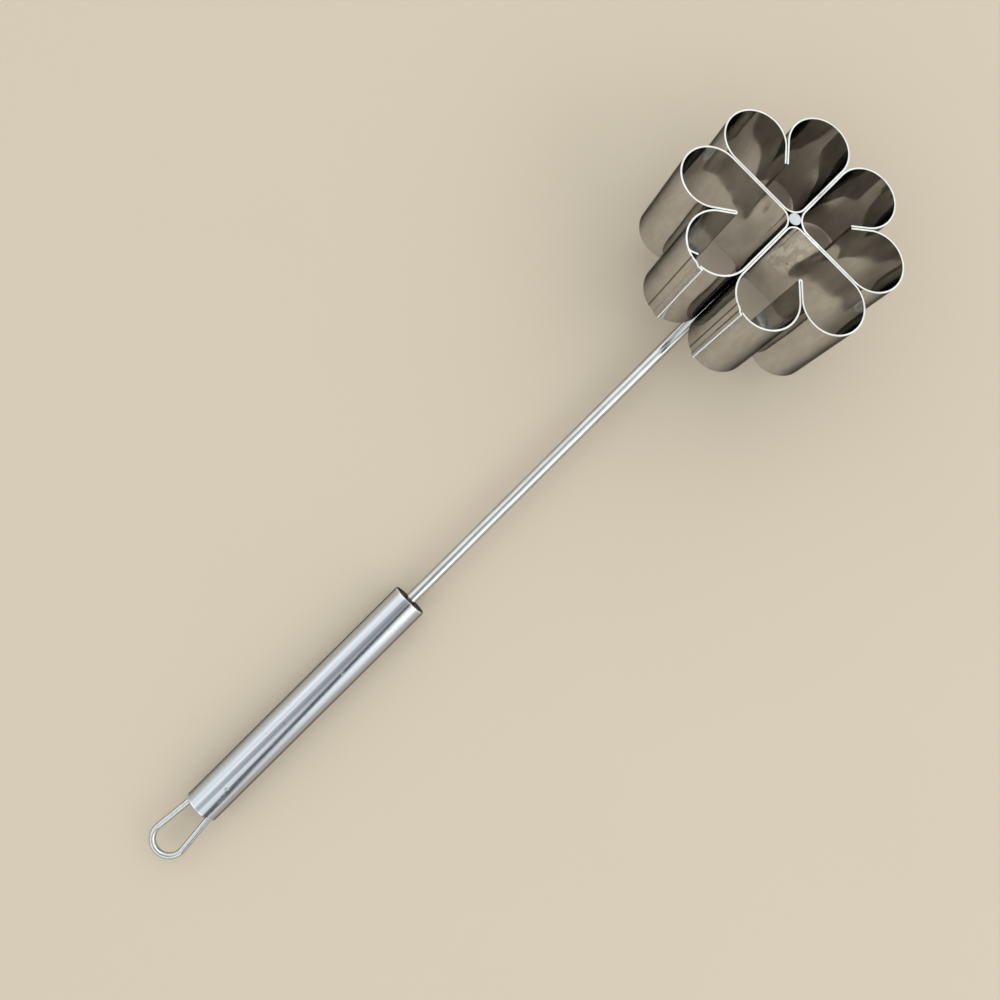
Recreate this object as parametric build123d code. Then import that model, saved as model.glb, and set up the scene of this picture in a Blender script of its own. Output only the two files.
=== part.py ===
from build123d import *
from collections import namedtuple
from math import acos, cos, degrees, radians, sin, sqrt, tan
import os

# Fritter iron, in millimetres, lying as it rests on a table: face of the head up, handle on the table.
# +X runs from the handle to the head, +Y is to the left of it and +Z is up.
# The origin is the middle of the footprint, on the table.

# Head: thin strips on edge, bent into four hearts of two petals each
strip_thickness = 0.75
head_depth = 43.0
head_lean = 18.5          # degrees that the face leans away from the handle
wall_gap = 0.15           # between the two strips of a straight double wall
cusp_gap = 0.25           # between the two runs of a strip where they meet at the inner cusp
pin_gap = 0.03            # between the rod and the rounded inner corner of a heart
near_right_pin_gap = 0.6

# The walls are bent and set by hand: how far the middle of a double wall stands off the axis of the head
far_wall_shift = 0.35     # to the right
near_wall_shift = 0.2     # to the right
right_wall_shift = 1.3    # towards the handle

# No two hearts are alike. One petal of each lies along the line of the handle, and the side petal across it.
# Radii and reach are of the centreline of the strip. The reach is that of the first petal, and the cusp is
# where the inner cusp ends, both from the axis of the head. Angles are in degrees off the line of the handle.
far_left_petal_radius = 12.9
far_left_side_radius = 12.8
far_left_reach = 45.0
far_left_cusp = 22.8
far_left_cusp_angle = 37.0
far_right_petal_radius = 12.85
far_right_side_radius = 12.95
far_right_reach = 43.8
far_right_cusp = 23.8
far_right_cusp_angle = 45.8
near_right_petal_radius = 12.95
near_right_side_radius = 12.85
near_right_reach = 46.4
near_right_cusp = 24.6
near_right_cusp_angle = 42.0
near_left_petal_radius = 13.2
near_left_side_radius = 12.65
near_left_reach = 44.8
near_left_cusp = 23.6
near_left_cusp_angle = 49.5

# Lap seam of the two near hearts: the outer layer steps over the end of the inner one
lap_gap = 0.03
step_radius = 1.5
near_left_lap_end = 151.0     # degrees round the petal from the cusp to the cut end of the outer layer
near_left_lap_angle = 7.0
near_right_lap_end = 142.7
near_right_lap_angle = 3.0

# Tongue above the seam of the near left heart, where the strip has come apart and turns into the petal
tongue_start = 108.0      # degrees round the petal from the cusp
tongue_turn = 57.0
tongue_radius = 2.0
tongue_length = 2.8       # of the straight end

# Rod: its end is the pin in the middle of the face
rod_diameter = 5.0
rod_reach = 196.2         # from the mouth of the handle to the axis of the head
rod_tail = 34.0           # length held inside the handle
weld_leg = 1.2

# Handle
tube_diameter = 16.0
tube_wall = 0.9
tube_length = 125.2
tube_edge = 0.3           # broken edge at both ends of the tube
plug_fit = 0.02
plug_thickness = 5.0
front_plug_recess = 0.8
rear_plug_recess = 3.0

# Hanging loop
wire_diameter = 2.8
loop_length = 28.3
loop_width = 17.4
loop_leg_gap = 0.35       # between each leg and the bore of the handle
loop_mouth_radius = 9.0
loop_leg_depth = 14.0     # length of each leg inside the handle

# Worked out from the sizes above
half_strip = strip_thickness / 2
wall_offset = half_strip + wall_gap / 2
cusp_offset = half_strip + cusp_gap / 2
rod_radius = rod_diameter / 2
tube_radius = tube_diameter / 2
bore_radius = tube_radius - tube_wall
wire_radius = wire_diameter / 2
loop_leg_y = bore_radius - wire_radius - loop_leg_gap

# Arcs of a strip, by their centres, with angles in degrees
Bend = namedtuple("Bend", "x y radius start sweep")
same_point = 1e-4         # points nearer than this are one point

# A heart in its own quarter of the head, with X and Y away from the axis. The walls are the distances of the
# strip's centreline from the axis, beside the petal along X and beside the side petal along Y.
Heart = namedtuple("Heart", "petal_wall side_wall petal_radius side_radius reach cusp cusp_angle pin_gap")
far_left = Heart(
    petal_wall=wall_offset - far_wall_shift,
    side_wall=wall_offset,
    petal_radius=far_left_petal_radius,
    side_radius=far_left_side_radius,
    reach=far_left_reach,
    cusp=far_left_cusp,
    cusp_angle=far_left_cusp_angle,
    pin_gap=pin_gap,
)
far_right = Heart(
    petal_wall=wall_offset + far_wall_shift,
    side_wall=wall_offset - right_wall_shift,
    petal_radius=far_right_petal_radius,
    side_radius=far_right_side_radius,
    reach=far_right_reach,
    cusp=far_right_cusp,
    cusp_angle=far_right_cusp_angle,
    pin_gap=pin_gap,
)
near_right = Heart(
    petal_wall=wall_offset + near_wall_shift,
    side_wall=wall_offset + right_wall_shift,
    petal_radius=near_right_petal_radius,
    side_radius=near_right_side_radius,
    reach=near_right_reach,
    cusp=near_right_cusp,
    cusp_angle=near_right_cusp_angle,
    pin_gap=near_right_pin_gap,
)
near_left = Heart(
    petal_wall=wall_offset - near_wall_shift,
    side_wall=wall_offset,
    petal_radius=near_left_petal_radius,
    side_radius=near_left_side_radius,
    reach=near_left_reach,
    cusp=near_left_cusp,
    cusp_angle=near_left_cusp_angle,
    pin_gap=pin_gap,
)


def petal_centre(heart):
    """Centre of the petal along X, which is tangent to the wall beside it."""
    return Vector(heart.reach - heart.petal_radius, heart.petal_wall + heart.petal_radius)


def side_centre(heart):
    """Centre of the side petal, tangent to its wall and leaving room for the two runs of the cusp."""
    turn = radians(heart.cusp_angle)
    other = petal_centre(heart)
    x = heart.side_wall + heart.side_radius
    apart = heart.petal_radius + heart.side_radius + 2 * cusp_offset
    return Vector(x, other.Y + (apart + (x - other.X) * sin(turn)) / cos(turn))


def side_reach(heart):
    """Distance from the axis of the head to the outside of the side petal."""
    return side_centre(heart).Y + heart.side_radius + half_strip


# Where the head and the rod lie: the far petal that reaches lowest and the whole tube touch the table
lean = radians(head_lean)
rod_height = tube_radius
far_reach = max(far_left.reach, far_right.reach) + half_strip
base_height = far_reach * sin(lean)
base_distance = (base_height - rod_height) / cos(lean)
rod_turn = 90 - head_lean
bend_radius = (base_distance - weld_leg) / tan(radians(rod_turn / 2))
front_end = (base_distance + head_depth) * sin(lean) + far_reach * cos(lean)
rear_end = rod_reach + tube_length + loop_length
left_end = max(side_reach(far_left), side_reach(near_left))
right_end = max(side_reach(far_right), side_reach(near_right))
elbow = Vector((rear_end - front_end) / 2, (right_end - left_end) / 2, rod_height)
head_axis = Vector(sin(lean), 0, cos(lean))
head_plane = Plane(elbow + head_axis * base_distance, x_dir=(cos(lean), 0, -sin(lean)), z_dir=head_axis)


def strip_point(bend, angle, offset, beyond=0.0):
    """Point on one face of a strip: at an angle round a bend, then some distance beyond along its tangent."""
    side = 1 if bend.sweep > 0 else -1
    radius = bend.radius - side * offset
    turn = radians(angle)
    x = bend.x + radius * cos(turn) - side * beyond * sin(turn)
    y = bend.y + radius * sin(turn) + side * beyond * cos(turn)
    return Vector(x, y)


def face_of_strip(bends, run_in, run_out, offset):
    """One long face of a strip, offset to the left of travel: its arcs, with straight runs between them."""
    edges = []
    reached = strip_point(bends[0], bends[0].start, offset, -run_in)
    for bend in bends:
        last_angle = bend.start + bend.sweep
        first = strip_point(bend, bend.start, offset)
        middle = strip_point(bend, bend.start + bend.sweep / 2, offset)
        last = strip_point(bend, last_angle, offset)
        if (first - reached).length > same_point:
            edges.append(Line(reached, first))
        edges.append(ThreePointArc(first, middle, last))
        reached = last
    if run_out > 0:
        edges.append(Line(reached, strip_point(bend, last_angle, offset, run_out)))
    return edges


def strip(bends, run_in=0.0, run_out=0.0):
    """A strip on edge, standing on the base plane of the head."""
    left = face_of_strip(bends, run_in, run_out, half_strip)
    right = face_of_strip(bends, run_in, run_out, -half_strip)
    start = Line(left[0] @ 0, right[0] @ 0)
    end = Line(left[-1] @ 1, right[-1] @ 1)
    return extrude(make_face(left + right + [start, end]), head_depth)


def petal(heart, start, end):
    """The petal along X between two angles, which are counted round it from the cusp."""
    centre = petal_centre(heart)
    return Bend(centre.X, centre.Y, heart.petal_radius, heart.cusp_angle + 90 - start, start - end)


def whole_petal(heart):
    """Degrees round the petal along X, from the cusp to the wall."""
    return heart.cusp_angle + 180


def side_petal(heart):
    """The side petal, travelled from the wall beside it to the cusp."""
    centre = side_centre(heart)
    return Bend(centre.X, centre.Y, heart.side_radius, 180, heart.cusp_angle - 270)


def inner_corner(heart):
    """The rounded corner of a heart that goes round the rod."""
    clear = rod_radius + heart.pin_gap + half_strip
    spare = clear - heart.petal_wall - heart.side_wall
    radius = spare + sqrt(spare ** 2 + clear ** 2 - heart.petal_wall ** 2 - heart.side_wall ** 2)
    return Bend(heart.side_wall + radius, heart.petal_wall + radius, radius, 270, -90)


def cusp_directions(heart):
    """Unit vectors outwards along the cusp, and across it towards the side petal."""
    along = Vector(1, 0).rotate(Axis.Z, heart.cusp_angle)
    return along, along.rotate(Axis.Z, 90)


def folded_cusp(heart):
    """The tight fold where the strip turns back on itself at the inner cusp."""
    along, across = cusp_directions(heart)
    middle_across = petal_centre(heart).dot(across) + heart.petal_radius + cusp_offset
    middle = along * (heart.cusp + cusp_offset + half_strip) + across * middle_across
    return Bend(middle.X, middle.Y, cusp_offset, heart.cusp_angle + 90, 180)


def open_heart(heart):
    """A heart whose strip starts and ends side by side at the inner cusp."""
    along, across = cusp_directions(heart)
    run_in = petal_centre(heart).dot(along) - heart.cusp
    run_out = side_centre(heart).dot(along) - heart.cusp
    bends = [petal(heart, 0, whole_petal(heart)), inner_corner(heart), side_petal(heart)]
    return strip(bends, run_in, run_out)


def lap_seam(heart, hidden_end, cut_end):
    """Outer layer of a lap seam, over the hidden end of the inner one and on to its own cut end.

    Both ends are angles round the petal from the cusp. Gives the angle at which the layer leaves the petal's
    circle, and its arcs from there: two that step outwards, tangent to both layers, and the layer itself.
    """
    side = 1 if cut_end > hidden_end else -1
    layer_radius = heart.petal_radius + strip_thickness + lap_gap
    low = heart.petal_radius + step_radius
    high = layer_radius - step_radius
    span = 2 * step_radius
    # The triangle between the centre of the petal and the centres of the two small arcs
    round_petal = degrees(acos((low ** 2 + high ** 2 - span ** 2) / (2 * low * high)))
    low_turn = degrees(acos((low ** 2 + span ** 2 - high ** 2) / (2 * low * span)))
    foot = hidden_end - side * round_petal
    layer = petal(heart, hidden_end, cut_end)._replace(radius=layer_radius)
    foot_direction = petal(heart, foot, hidden_end).start
    petal_middle = Vector(layer.x, layer.y)
    low_centre = petal_middle + Vector(low, 0).rotate(Axis.Z, foot_direction)
    high_centre = petal_middle + Vector(high, 0).rotate(Axis.Z, layer.start)
    step_out = Bend(low_centre.X, low_centre.Y, step_radius, foot_direction + 180, side * low_turn)
    level_start = foot_direction + side * low_turn
    level_turn = -side * (low_turn + round_petal)
    step_level = Bend(high_centre.X, high_centre.Y, step_radius, level_start, level_turn)
    return foot, [step_out, step_level, layer]


def reverse(bends):
    """The same bends, travelled the other way."""
    return [bend._replace(start=bend.start + bend.sweep, sweep=-bend.sweep) for bend in reversed(bends)]


def lapped_heart(heart, lap_end, lap_angle, outer_from_cusp):
    """A heart folded at the cusp, its ends lapped on the petal along X, with either of them outermost."""
    hidden_end = lap_end - lap_angle if outer_from_cusp else lap_end + lap_angle
    foot, outer_layer = lap_seam(heart, hidden_end, lap_end)
    rest = [inner_corner(heart), side_petal(heart), folded_cusp(heart)]
    wall_end = whole_petal(heart)
    if outer_from_cusp:
        return strip([petal(heart, hidden_end, wall_end)] + rest + [petal(heart, 0, foot)] + outer_layer)
    inner_layer = petal(heart, 0, hidden_end)
    return strip(reverse(outer_layer) + [petal(heart, foot, wall_end)] + rest + [inner_layer])


def tongue(heart):
    """Short end of strip that leaves the petal along X and turns into it."""
    direction = petal(heart, tongue_start, whole_petal(heart)).start
    inwards = Vector(heart.petal_radius - tongue_radius, 0).rotate(Axis.Z, direction)
    centre = petal_centre(heart) + inwards
    return strip([Bend(centre.X, centre.Y, tongue_radius, direction, -tongue_turn)], run_out=tongue_length)


def hearts():
    """The four hearts in their quarters of the head."""
    left_seam = near_left_lap_end, near_left_lap_angle
    right_seam = near_right_lap_end, near_right_lap_angle
    near_left_strip = lapped_heart(near_left, *left_seam, outer_from_cusp=True) + tongue(near_left)
    near_right_strip = lapped_heart(near_right, *right_seam, outer_from_cusp=False)
    return {
        "far_left_heart": head_plane * open_heart(far_left),
        "far_right_heart": head_plane * mirror(open_heart(far_right), about=Plane.XZ),
        "near_left_heart": head_plane * mirror(near_left_strip, about=Plane.YZ),
        "near_right_heart": head_plane * Rot(0, 0, 180) * near_right_strip,
    }


def bent_rod():
    """Round bar from inside the handle, along the table, up round its bend and through the head."""
    tail = elbow + Vector(-rod_reach - rod_tail, 0, 0)
    tip = elbow + head_axis * (base_distance + head_depth)
    path = FilletPolyline(tail, elbow, tip, radius=bend_radius)
    return sweep(Plane(tail, z_dir=(1, 0, 0)) * Circle(rod_radius), path)


def hub_weld(rod):
    """Bead round the rod, under the base edges of the hearts."""
    bead = make_face([
        Line((0, 0), (rod_radius + weld_leg, 0)),
        RadiusArc((rod_radius + weld_leg, 0), (rod_radius, -weld_leg), weld_leg),
        Line((rod_radius, -weld_leg), (0, -weld_leg)),
        Line((0, -weld_leg), (0, 0)),
    ])
    ring = revolve(Plane.XZ * bead, Axis.Z)
    return head_plane * ring - rod


def along_handle(distance):
    """Plane across the handle, a distance behind its mouth, facing the head."""
    return Plane(elbow + Vector(-rod_reach - distance, 0, 0), x_dir=(0, 1, 0), z_dir=(1, 0, 0))


def handle_tube():
    """Plain tube with its edges broken."""
    tube = Cylinder(tube_radius, tube_length) - Cylinder(bore_radius, tube_length)
    circles = tube.edges().filter_by(GeomType.CIRCLE)
    rims = circles.filter_by(lambda edge: edge.radius > bore_radius + tube_wall / 2)
    return along_handle(tube_length / 2) * chamfer(rims, tube_edge)


def front_plug():
    """Disc in the mouth of the handle, round the rod."""
    disc = Cylinder(bore_radius - plug_fit, plug_thickness) - Cylinder(rod_radius + plug_fit, plug_thickness)
    return along_handle(front_plug_recess + plug_thickness / 2) * disc


def rear_plug():
    """Disc inside the other end, with a hole for each leg of the loop."""
    disc = Cylinder(bore_radius - plug_fit, plug_thickness)
    hole = Cylinder(wire_radius + plug_fit, plug_thickness)
    holes = [Pos(side * loop_leg_y, 0) * hole for side in (-1, 1)]
    return along_handle(tube_length - rear_plug_recess - plug_thickness / 2) * (disc - holes)


def hanging_loop():
    """Teardrop of wire: parallel legs in the handle, a slight spread and a round end."""
    round_radius = loop_width / 2 - wire_radius
    round_x = loop_length - wire_radius - round_radius
    rear = elbow + Vector(-rod_reach - tube_length, 0, 0)
    # Angle at which a leg runs from the mouth to the round end
    away = sqrt(round_x ** 2 + loop_leg_y ** 2)
    spread = degrees(acos(loop_leg_y / away) - acos(round_radius / away))
    turn = radians(spread)
    touch_x = round_x - round_radius * sin(turn)
    touch_y = round_radius * cos(turn)

    def leg(side):
        leg_y = side * loop_leg_y
        points = [(loop_leg_depth, leg_y), (0, leg_y), (-touch_x, side * touch_y)]
        return FilletPolyline(*points, radius=loop_mouth_radius)

    end = ThreePointArc((-touch_x, touch_y), (-round_x - round_radius, 0), (-touch_x, -touch_y))
    path = Pos(rear) * Wire(leg(1).edges() + end.edges() + leg(-1).edges())
    section = Plane(rear + Vector(loop_leg_depth, loop_leg_y, 0), z_dir=(-1, 0, 0)) * Circle(wire_radius)
    return sweep(section, path)


pieces = hearts()
pieces["bent_rod"] = bent_rod()
pieces["hub_weld"] = hub_weld(pieces["bent_rod"])
pieces["handle_tube"] = handle_tube()
pieces["front_plug"] = front_plug()
pieces["rear_plug"] = rear_plug()
pieces["hanging_loop"] = hanging_loop()

os.makedirs("parts", exist_ok=True)
for name, piece in pieces.items():
    export_step(piece, f"parts/{name}.step")
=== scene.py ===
import math

import bmesh
import bpy
from mathutils import Matrix, Vector


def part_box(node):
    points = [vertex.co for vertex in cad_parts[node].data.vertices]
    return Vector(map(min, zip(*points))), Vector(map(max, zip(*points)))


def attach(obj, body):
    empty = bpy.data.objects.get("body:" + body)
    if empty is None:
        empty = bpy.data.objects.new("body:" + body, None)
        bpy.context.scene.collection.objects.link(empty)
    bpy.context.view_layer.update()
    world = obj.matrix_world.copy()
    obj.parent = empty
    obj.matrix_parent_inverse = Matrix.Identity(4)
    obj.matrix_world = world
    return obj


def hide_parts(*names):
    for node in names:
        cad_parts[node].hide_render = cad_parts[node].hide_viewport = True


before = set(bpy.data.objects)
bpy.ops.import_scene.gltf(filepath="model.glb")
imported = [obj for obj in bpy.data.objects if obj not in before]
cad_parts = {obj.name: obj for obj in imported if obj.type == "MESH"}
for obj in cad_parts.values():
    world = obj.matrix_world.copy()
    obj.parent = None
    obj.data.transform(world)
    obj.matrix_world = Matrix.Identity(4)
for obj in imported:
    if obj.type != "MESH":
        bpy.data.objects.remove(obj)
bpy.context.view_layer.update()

# The fritter iron on a pale floor, in metres, in the frame of its CAD solids.

UP = Vector((0, 0, 1))

# Direction of the pin: the face of the head leans away from the handle
HEAD_LEAN = math.radians(18.5)
HEAD_AXIS = Vector((math.sin(HEAD_LEAN), 0, math.cos(HEAD_LEAN)))

# Depth of the strips, which is also the height of the pin's end above the lower rims
STRIP_DEPTH = 0.043

# The plane of the petals' lower rims: a point below the pin, the direction away from the handle, and the one
# to the left of that
handle_low, handle_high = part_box("handle_tube")
HANDLE_Y = (handle_low.y + handle_high.y) / 2
HEAD_FOOT = Vector((0.147583, HANDLE_Y, 0.014398))
HEAD_AWAY = Vector((math.cos(HEAD_LEAN), 0, -math.sin(HEAD_LEAN)))
HEAD_LEFT = Vector((0, 1, 0))

# Camera of the photograph: it looks straight down from above the rod, a little beyond the handle, turned so
# that the iron lies on the diagonal. Its nearest and farthest visible distance are in metres too
CAMERA_PLACE = Vector((handle_high.x + 0.05728, HANDLE_Y + 0.00322, 0.435))
PICTURE_RIGHT = Vector((0.70982, -0.70440, 0))
PICTURE_UP = Vector((0.70440, 0.70982, 0))
SENSOR_WIDTH = 36.0
FOCAL_LENGTH = 36.0
NEAREST_SEEN, FARTHEST_SEEN = 0.01, 20

# Strips: the rounding of their sheared edges, the least angle of such an edge, how far the faces of a flat
# wall may differ, and the least angle that is shaded as a sharp one
EDGE_ROUNDING = 0.00006
SHEARED_ANGLE = math.radians(60)
FLAT_ANGLE = math.radians(0.2)
SHARP_ANGLE = math.radians(24)

# Points nearer than this are one point. Cosines of lines that count as parallel, and as square to each other
SAME_POINT = 1e-7
PARALLEL = 0.99
SQUARE = 0.01

# Lines on the walls of the near petals, by their place on the plane of the lower rims: the cut ends of the
# strips' lap seams, with a painted highlight, and the creases where the strips step out over them, with
# painted shade
SEAM_ENDS = ((-0.045667, 0.010588), (-0.047310, -0.010981))
SEAM_CREASES = ((-0.044694, 0.017032), (-0.044990, -0.006937))

# A whitish stain high on the right wall, beside the pin, by its place on that plane and where it begins along
# the pin, and a small dark speck in it
HUB_STAIN = (-0.0021, -0.0080)
STAIN_START = HEAD_FOOT.dot(HEAD_AXIS) + 0.014
WALL_SPECK = HEAD_FOOT - 0.0021 * HEAD_AWAY - 0.0106 * HEAD_LEFT + 0.02455 * HEAD_AXIS

# The rod turns up at its bend, this far before its highest point
BEND_LENGTH = 0.03

# Pits on top of the handle: place along it, place across it and radius
HANDLE_PITS = ((-0.0915, -0.0019, 0.0007), (-0.1232, 0.0001, 0.0006), (-0.1602, -0.0022, 0.0008))

FLOOR_COLOUR = (0.61, 0.515, 0.41, 1)
DARKER_FLOOR = tuple(0.975 * channel for channel in FLOOR_COLOUR[:3]) + (1,)
FLOOR_RADIUS = 4.0
FLOOR_SIDES = 96

# Studio: the light of its dome, the dim patch overhead, the dim bar, which stands in an upright plane, the
# bright window beyond the head, and the pale wall round the horizon
DOME_LEVEL = 1.22
DOME_COLOUR = (0.94, 1.0, 0.98, 1)
DIM_COLOUR = (0.92, 0.88, 0.96, 1)
OVERHEAD = (-0.08, 0.10, 1)
OVERHEAD_DIMMING = 0.62
BAR_SIDE = Vector((-0.891, 0.454, 0))
BAR_ALONG = Vector((-0.454, -0.891, 0))
BAR_DIMMING = 0.95
WINDOW = (0.86, 0, 0.51)
WINDOW_LEVEL = 0.55
WALL_COLOUR = (0.84, 0.86, 0.86, 1)
WALL_FOOT_LEVEL = 0.75


class Nodes:
    """A short way to write a node tree."""

    def __init__(self, tree):
        self.tree = tree
        tree.nodes.clear()

    def add(self, kind, inputs=None, **settings):
        """A node with its settings, and its inputs given as numbers, colours or other nodes' outputs."""
        node = self.tree.nodes.new(kind)
        for name, value in settings.items():
            setattr(node, name, value)
        for name, value in (inputs or {}).items():
            if isinstance(value, bpy.types.NodeSocket):
                self.tree.links.new(value, node.inputs[name])
            else:
                node.inputs[name].default_value = value
        return node

    def position(self):
        return self.add("ShaderNodeNewGeometry").outputs["Position"]

    def stretched(self, scale):
        """Position in metres, times a scale for each axis."""
        scaled = self.add("ShaderNodeVectorMath", {0: self.position(), 1: scale}, operation="MULTIPLY")
        return scaled.outputs["Vector"]

    def noise(self, scale, detail=3.0, roughness=0.5):
        """Noise from 0 to 1 whose features are about 1/scale metres apart along each axis."""
        inputs = {"Vector": self.stretched(scale), "Scale": 1.0, "Detail": detail, "Roughness": roughness}
        return self.add("ShaderNodeTexNoise", inputs).outputs["Fac"]

    def ramp(self, factor, low, high, low_value=0.0, high_value=1.0):
        """A smooth change from low_value to high_value as the factor goes from low to high."""
        inputs = {"Value": factor, "From Min": low, "From Max": high,
                  "To Min": low_value, "To Max": high_value}
        return self.add("ShaderNodeMapRange", inputs, interpolation_type="SMOOTHSTEP").outputs["Result"]

    def math(self, operation, first, second=0.0):
        return self.add("ShaderNodeMath", {0: first, 1: second}, operation=operation).outputs["Value"]

    def mix(self, factor, first, second):
        """A mix of two colours."""
        node = self.add("ShaderNodeMix", {0: factor, 6: first, 7: second}, data_type="RGBA")
        return node.outputs[2]

    def from_point(self, point):
        """Distance from a point, in metres."""
        inputs = {0: self.position(), 1: point}
        return self.add("ShaderNodeVectorMath", inputs, operation="DISTANCE").outputs["Value"]

    def from_line(self, away, left):
        """Distance from a line along the pin, which meets the plane of the lower rims at this place."""
        foot = HEAD_FOOT + away * HEAD_AWAY + left * HEAD_LEFT
        arm = self.add("ShaderNodeVectorMath", {0: self.position(), 1: foot}, operation="SUBTRACT")
        cross = self.add("ShaderNodeVectorMath", {0: arm.outputs["Vector"], 1: HEAD_AXIS},
                         operation="CROSS_PRODUCT")
        length = self.add("ShaderNodeVectorMath", {0: cross.outputs["Vector"]}, operation="LENGTH")
        return length.outputs["Value"]

    def along(self, direction):
        """Position along a direction, in metres."""
        dot = self.add("ShaderNodeVectorMath", {0: self.position(), 1: direction}, operation="DOT_PRODUCT")
        return dot.outputs["Value"]

    def bump(self, height, distance, below=None):
        """Normal of a surface with this height, which is in units of the distance."""
        inputs = {"Height": height, "Distance": distance, "Strength": 1.0}
        if below is not None:
            inputs["Normal"] = below
        return self.add("ShaderNodeBump", inputs).outputs["Normal"]

    def metal(self, colour, roughness, normal, metallic=1.0):
        """A metal surface, joined to the material's output. It scatters light where it is less metallic."""
        inputs = {"Base Color": colour, "Roughness": roughness, "Normal": normal, "Metallic": metallic,
                  "Specular Tint": (0.15, 0.15, 0.16, 1)}
        shader = self.add("ShaderNodeBsdfPrincipled", inputs).outputs["BSDF"]
        self.add("ShaderNodeOutputMaterial", {"Surface": shader})


def new_material(name):
    material = bpy.data.materials.new(name)
    material.use_nodes = True
    return material, Nodes(material.node_tree)


def strip_wall():
    """Bright rolled strip: soft waves from bending, stains, fine scratches and the lines of its lap seams,
    which carry painted shade in their creases and a painted highlight on their cut ends.
    """
    bright, stained, rolled = (0.60, 0.59, 0.575, 1), (0.49, 0.465, 0.435, 1), (0.42, 0.40, 0.38, 1)
    # The dark of the creases is painted shade, for the shade in their grooves
    crease_shade_dark, speck_dark = (0.12, 0.10, 0.09, 1), (0.05, 0.04, 0.035, 1)
    # The white of the cut ends is a painted highlight, for the light that their sheared faces catch
    stain_white, cut_end_highlight_white = (0.86, 0.85, 0.82, 1), (0.97, 0.98, 1.0, 1)
    material, n = new_material("strip_wall")
    stain = n.ramp(n.noise((70, 70, 45), 5.0, 0.6), 0.40, 0.75)
    rolling = n.ramp(n.noise((420, 420, 14), 3.0, 0.6), 0.35, 0.70, 0.0, 0.35)
    plain = n.mix(rolling, n.mix(stain, bright, stained), rolled)
    # Painted shade: a thin dark line along each crease
    for away, left in SEAM_CREASES:
        painted_crease_shade = n.ramp(n.from_line(away, left), 0.0002, 0.0005, 0.8, 0.0)
        plain = n.mix(painted_crease_shade, plain, crease_shade_dark)
    # The cut ends are real sheared faces, rougher and less metallic, and their near-white colour is a painted
    # highlight
    cut_end_and_highlight_lines = [n.ramp(n.from_line(away, left), 0.0004, 0.0005, 1.0, 0.0) for away, left in SEAM_ENDS]
    cut_end_and_highlight = n.math("MAXIMUM", *cut_end_and_highlight_lines)
    spill = n.ramp(n.noise((300, 300, 150), 5.0, 0.65), 0.44, 0.58)
    beside_pin = n.math("MULTIPLY", n.ramp(n.from_line(*HUB_STAIN), 0.0040, 0.0065, 1.0, 0.0),
                        n.ramp(n.along(HEAD_AXIS), STAIN_START, STAIN_START + 0.010))
    whitish = n.math("MULTIPLY", spill, beside_pin)
    speck = n.ramp(n.from_point(WALL_SPECK), 0.0003, 0.0005, 0.85, 0.0)
    stained_wall = n.mix(n.math("MULTIPLY", whitish, 0.95), plain, stain_white)
    colour = n.mix(cut_end_and_highlight, n.mix(speck, stained_wall, speck_dark), cut_end_highlight_white)
    smear = n.ramp(n.noise((260, 260, 90), 4.0, 0.6), 0.3, 0.75, 0.06, 0.15)
    sheared = n.math("MULTIPLY", cut_end_and_highlight, 0.45)
    roughness = n.math("ADD", n.math("ADD", smear, sheared), n.math("MULTIPLY", whitish, 0.12))
    metallic = n.ramp(cut_end_and_highlight, 0.0, 1.0, 1.0, 0.2)
    wave_height = n.ramp(n.from_line(0, 0), 0.006, 0.022, 2.2, 0.7)
    waves = n.bump(n.math("MULTIPLY", n.noise((70, 70, 30), 1.0), wave_height), 0.001)
    scratches = n.bump(n.noise((2600, 2600, 500), 2.0), 0.000008, waves)
    n.metal(colour, roughness, scratches, metallic)
    return material


def cut_edge():
    """Sheared edge of the strip, whiter and duller than its walls."""
    bright, torn = (0.98, 0.99, 1.0, 1), (0.88, 0.89, 0.91, 1)
    material, n = new_material("cut_edge")
    shear = n.noise((1500, 1500, 300), 3.0)
    colour = n.mix(n.ramp(shear, 0.35, 0.7), bright, torn)
    roughness = n.ramp(n.noise((400, 400, 400)), 0.3, 0.7, 0.18, 0.28)
    n.metal(colour, roughness, n.bump(shear, 0.00001))
    return material


def drawn_rod():
    """Bright drawn bar: fine lines along it, which turn up with the bar at its bend, and a grey sawn end."""
    bright, dull, end_grey = (0.69, 0.70, 0.70, 1), (0.56, 0.56, 0.56, 1), (0.50, 0.50, 0.53, 1)
    material, n = new_material("drawn_rod")
    bend_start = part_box("bent_rod")[1].x - BEND_LENGTH
    past_bend = n.ramp(n.along((1, 0, 0)), bend_start, bend_start + 0.004)
    flat = n.noise((40, 4200, 4200), 2.0)
    upright = n.noise((4200, 4200, 60), 2.0)
    lines = n.math("ADD", n.math("MULTIPLY", flat, n.math("SUBTRACT", 1.0, past_bend)),
                   n.math("MULTIPLY", upright, past_bend))
    drawn = n.mix(n.ramp(n.noise((90, 500, 500), 3.0), 0.35, 0.75), bright, dull)
    pin_end = HEAD_FOOT.dot(HEAD_AXIS) + STRIP_DEPTH
    on_end = n.ramp(n.along(HEAD_AXIS), pin_end - 0.0003, pin_end - 0.0001)
    colour = n.mix(on_end, drawn, end_grey)
    along_rod = n.ramp(n.noise((60, 900, 900), 3.0), 0.3, 0.7, 0.10, 0.18)
    roughness = n.math("ADD", along_rod, n.math("MULTIPLY", on_end, 0.3))
    n.metal(colour, roughness, n.bump(lines, 0.00001))
    return material


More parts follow.
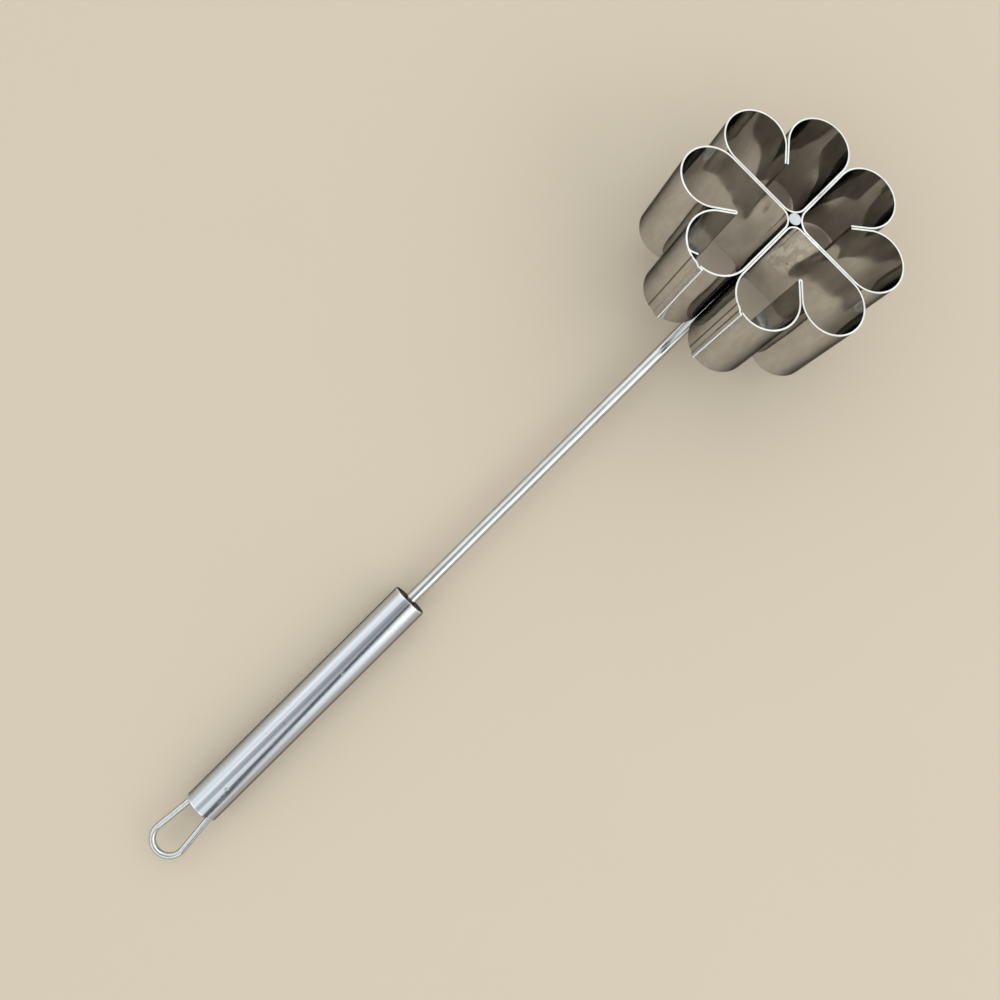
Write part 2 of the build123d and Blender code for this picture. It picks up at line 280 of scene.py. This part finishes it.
def brushed_tube():
    """Drawn tube, brushed along its length, scuffed and pitted, with a painted highlight near its two ends.
    """
    bright, streaked, scuffed = (0.67, 0.70, 0.74, 1), (0.54, 0.56, 0.61, 1), (0.52, 0.50, 0.49, 1)
    pit_dark, end_highlight_white = (0.22, 0.19, 0.17, 1), (0.92, 0.93, 0.92, 1)
    material, n = new_material("brushed_tube")
    low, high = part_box("handle_tube")
    middle = (low.x + high.x) / 2
    from_middle = n.math("ABSOLUTE", n.math("SUBTRACT", n.along((1, 0, 0)), middle))
    half = (high.x - low.x) / 2
    # Painted highlight: the last millimetre at each end of the tube is painted near-white, for the light its
    # rolled end catches
    edge = n.ramp(from_middle, half - 0.0011, half - 0.0002)
    brushing = n.noise((26, 3000, 3000), 3.0, 0.6)
    streaks = n.noise((9, 900, 900), 3.0, 0.6)
    scuffs = n.ramp(n.noise((150, 420, 420), 6.0, 0.7), 0.56, 0.70)
    pits = n.ramp(n.noise((700, 900, 900), 2.0), 0.72, 0.78)
    speckle = n.ramp(n.noise((1500, 1500, 1500), 3.0), 0.40, 0.55)
    for along, across, radius in HANDLE_PITS:
        place = (along, HANDLE_Y + across, high.z)
        pit = n.ramp(n.from_point(place), 0.5 * radius, 1.6 * radius, 1.0, 0.0)
        pits = n.math("MAXIMUM", pits, n.math("MULTIPLY", pit, speckle))
    plain = n.mix(n.ramp(streaks, 0.3, 0.7), bright, streaked)
    worn = n.mix(n.math("MULTIPLY", scuffs, 0.35), plain, scuffed)
    pitted = n.mix(n.math("MULTIPLY", pits, 0.7), worn, pit_dark)
    colour = n.mix(edge, pitted, end_highlight_white)
    base_roughness = n.ramp(brushing, 0.3, 0.7, 0.09, 0.17)
    roughness = n.math("ADD", base_roughness, n.math("MULTIPLY", scuffs, 0.12))
    brushed = n.bump(brushing, 0.000012)
    n.metal(colour, roughness, n.bump(n.math("SUBTRACT", 1.0, pits), 0.00003, brushed))
    return material


def painted_shade_plug():
    """Unfinished steel inside the tube, its colour darkened as painted shade, for the shade deep in the tube.
    """
    plug_shade_grey, plug_shade_dark = (0.20, 0.19, 0.18, 1), (0.10, 0.095, 0.09, 1)
    material, n = new_material("painted_shade_plug")
    mottle = n.noise((500, 900, 900), 4.0, 0.6)
    # Painted shade: both colours are dark for the shade inside the tube
    colour = n.mix(n.ramp(mottle, 0.35, 0.65), plug_shade_grey, plug_shade_dark)
    roughness = n.ramp(mottle, 0.3, 0.7, 0.45, 0.65)
    n.metal(colour, roughness, n.bump(mottle, 0.00004))
    return material


def drawn_wire():
    """Bright drawn wire with slight tool marks where it was bent."""
    bright, marked = (0.63, 0.65, 0.65, 1), (0.55, 0.56, 0.56, 1)
    material, n = new_material("drawn_wire")
    marks = n.noise((700, 700, 1800), 3.0)
    colour = n.mix(n.ramp(marks, 0.35, 0.7), bright, marked)
    roughness = n.ramp(marks, 0.3, 0.7, 0.06, 0.12)
    n.metal(colour, roughness, n.bump(marks, 0.000005))
    return material


def weld_metal():
    """Rippled bead, tinted by its heat."""
    straw, purple = (0.42, 0.39, 0.36, 1), (0.24, 0.21, 0.22, 1)
    material, n = new_material("weld_metal")
    tint = n.noise((600, 600, 600), 3.0)
    colour = n.mix(n.ramp(tint, 0.35, 0.65), straw, purple)
    roughness = n.ramp(tint, 0.3, 0.7, 0.3, 0.5)
    n.metal(colour, roughness, n.bump(n.noise((1800, 1800, 1800), 3.0), 0.00004))
    return material


def floor_material():
    """Plain pale floor, faintly uneven."""
    material, n = new_material("pale_floor")
    cloud = n.noise((9, 9, 9), 3.0)
    colour = n.mix(cloud, FLOOR_COLOUR, DARKER_FLOOR)
    shader = n.add("ShaderNodeBsdfPrincipled", {"Base Color": colour, "Roughness": 0.85})
    n.add("ShaderNodeOutputMaterial", {"Surface": shader.outputs["BSDF"]})
    return material


def add_object(name, mesh, materials):
    piece = bpy.data.objects.new(name, mesh)
    bpy.context.scene.collection.objects.link(piece)
    for material in materials:
        mesh.materials.append(material)
    return piece


def runs_along_pin(edge):
    return abs((edge.verts[0].co - edge.verts[1].co).normalized().dot(HEAD_AXIS)) > PARALLEL


def is_upright(face):
    """Whether a face stands along the pin and runs over most of the strip's depth."""
    longest = max(face.edges, key=lambda one: one.calc_length())
    is_deep = longest.calc_length() > 0.7 * STRIP_DEPTH
    return abs(face.normal.dot(HEAD_AXIS)) < SQUARE and runs_along_pin(longest) and is_deep


def heart(node, wall, edge):
    """A heart of strip as its CAD solid, with its sheared edges rounded and given a finish of their own."""
    shape = bmesh.new()
    shape.from_mesh(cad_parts[node].data)
    bmesh.ops.remove_doubles(shape, verts=shape.verts, dist=SAME_POINT)
    bmesh.ops.dissolve_limit(shape, angle_limit=FLAT_ANGLE, verts=shape.verts, edges=shape.edges)
    corners = [one for one in shape.edges if one.calc_face_angle(0) > SHEARED_ANGLE]
    # A cut end of the strip is the upright face between two sheared edges
    for face in shape.faces:
        is_cut_end = sum(1 for one in face.edges if one in corners and runs_along_pin(one)) == 2
        face.material_index = 0 if is_upright(face) and not is_cut_end else 1
    bmesh.ops.bevel(shape, geom=corners, offset=EDGE_ROUNDING, segments=2, profile=0.5, affect="EDGES",
                    clamp_overlap=True)
    # The faces that the bevel made have the finish of the edge
    for face in shape.faces:
        face.normal_update()
        if not is_upright(face):
            face.material_index = 1
        face.smooth = True
    mesh = bpy.data.meshes.new(node + "_strip")
    shape.to_mesh(mesh)
    shape.free()
    mesh.materials.clear()
    mesh.set_sharp_from_angle(angle=SHARP_ANGLE)
    piece = add_object(node + "_strip", mesh, [wall, edge])
    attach(piece, "root")
    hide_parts(node)


def dress(node, material):
    """Gives a CAD node its material."""
    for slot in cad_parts[node].material_slots:
        slot.material = material


def add_floor():
    mesh = bpy.data.meshes.new("floor")
    shape = bmesh.new()
    bmesh.ops.create_circle(shape, cap_ends=True, segments=FLOOR_SIDES, radius=FLOOR_RADIUS)
    shape.to_mesh(mesh)
    shape.free()
    floor = add_object("floor", mesh, [floor_material()])


def add_lamp(name, place, size, power, colour):
    """A soft rectangular lamp, aimed at the middle of the iron."""
    lamp = bpy.data.lights.new(name, "AREA")
    lamp.shape = "RECTANGLE"
    lamp.size, lamp.size_y = size
    lamp.energy = power
    lamp.color = colour
    holder = bpy.data.objects.new(name, lamp)
    holder.location = place
    holder.rotation_euler = (-Vector(place)).to_track_quat("-Z", "Y").to_euler()
    bpy.context.scene.collection.objects.link(holder)


def add_world():
    """A soft dome above a pale wall, dimmer overhead and along one bar, and brighter beyond the head."""
    world = bpy.data.worlds.new("studio")
    bpy.context.scene.world = world
    world.use_nodes = True
    n = Nodes(world.node_tree)
    direction = n.add("ShaderNodeTexCoord").outputs["Generated"]

    def towards(vector):
        dot = n.add("ShaderNodeVectorMath", {0: direction, 1: vector}, operation="DOT_PRODUCT")
        return dot.outputs["Value"]

    def patch(middle, inner, outer):
        """1 within the inner angle of a direction, and 0 beyond the outer one."""
        cosine = towards(Vector(middle).normalized())
        return n.ramp(cosine, math.cos(math.radians(outer)), math.cos(math.radians(inner)))

    above = n.math("MULTIPLY", patch(OVERHEAD, 8, 30), OVERHEAD_DIMMING)
    across_bar = n.ramp(n.math("ABSOLUTE", towards(BAR_SIDE)), 0.04, 0.11, 1.0, 0.0)
    along_bar = n.ramp(towards(BAR_ALONG), 0.12, 0.3)
    bar = n.math("MULTIPLY", n.math("MULTIPLY", across_bar, along_bar), BAR_DIMMING)
    dim = n.math("MAXIMUM", above, bar)
    window = n.math("MULTIPLY", patch(WINDOW, 20, 40), WINDOW_LEVEL)
    lit = n.math("ADD", n.math("MULTIPLY", n.math("SUBTRACT", 1.0, dim), DOME_LEVEL), window)
    height = towards(UP)
    wall = n.ramp(height, 0.20, 0.32, 1.0, 0.0)
    wall_level = n.ramp(n.math("ABSOLUTE", height), 0.02, 0.08, WALL_FOOT_LEVEL, 1.0)
    level = n.math("ADD", n.math("MULTIPLY", n.math("SUBTRACT", 1.0, wall), lit),
                   n.math("MULTIPLY", wall, wall_level))
    colour = n.mix(wall, n.mix(dim, DOME_COLOUR, DIM_COLOUR), WALL_COLOUR)
    studio = n.add("ShaderNodeBackground", {"Color": colour, "Strength": level})
    n.add("ShaderNodeOutputWorld", {"Surface": studio.outputs["Background"]})


def add_camera():
    camera = bpy.data.cameras.new("photo_view")
    camera.sensor_width = SENSOR_WIDTH
    camera.lens = FOCAL_LENGTH
    camera.clip_start = NEAREST_SEEN
    camera.clip_end = FARTHEST_SEEN
    holder = bpy.data.objects.new("photo_view", camera)
    turned = Matrix((PICTURE_RIGHT, PICTURE_UP, UP)).transposed().to_4x4()
    holder.matrix_world = Matrix.Translation(CAMERA_PLACE) @ turned
    bpy.context.scene.collection.objects.link(holder)
    bpy.context.scene.camera = holder


wall, edge = strip_wall(), cut_edge()
for node in ("far_left_heart", "far_right_heart", "near_left_heart", "near_right_heart"):
    heart(node, wall, edge)
dress("bent_rod", drawn_rod())
dress("hub_weld", weld_metal())
dress("handle_tube", brushed_tube())
plug = painted_shade_plug()
dress("front_plug", plug)
dress("rear_plug", plug)
dress("hanging_loop", drawn_wire())

add_floor()
add_world()
add_lamp("side_lamp", (0.25, -1.2, 0.9), (1.2, 0.7), 2.5, (1.0, 0.98, 0.95))
add_camera()

bpy.context.scene.view_settings.view_transform = "Standard"
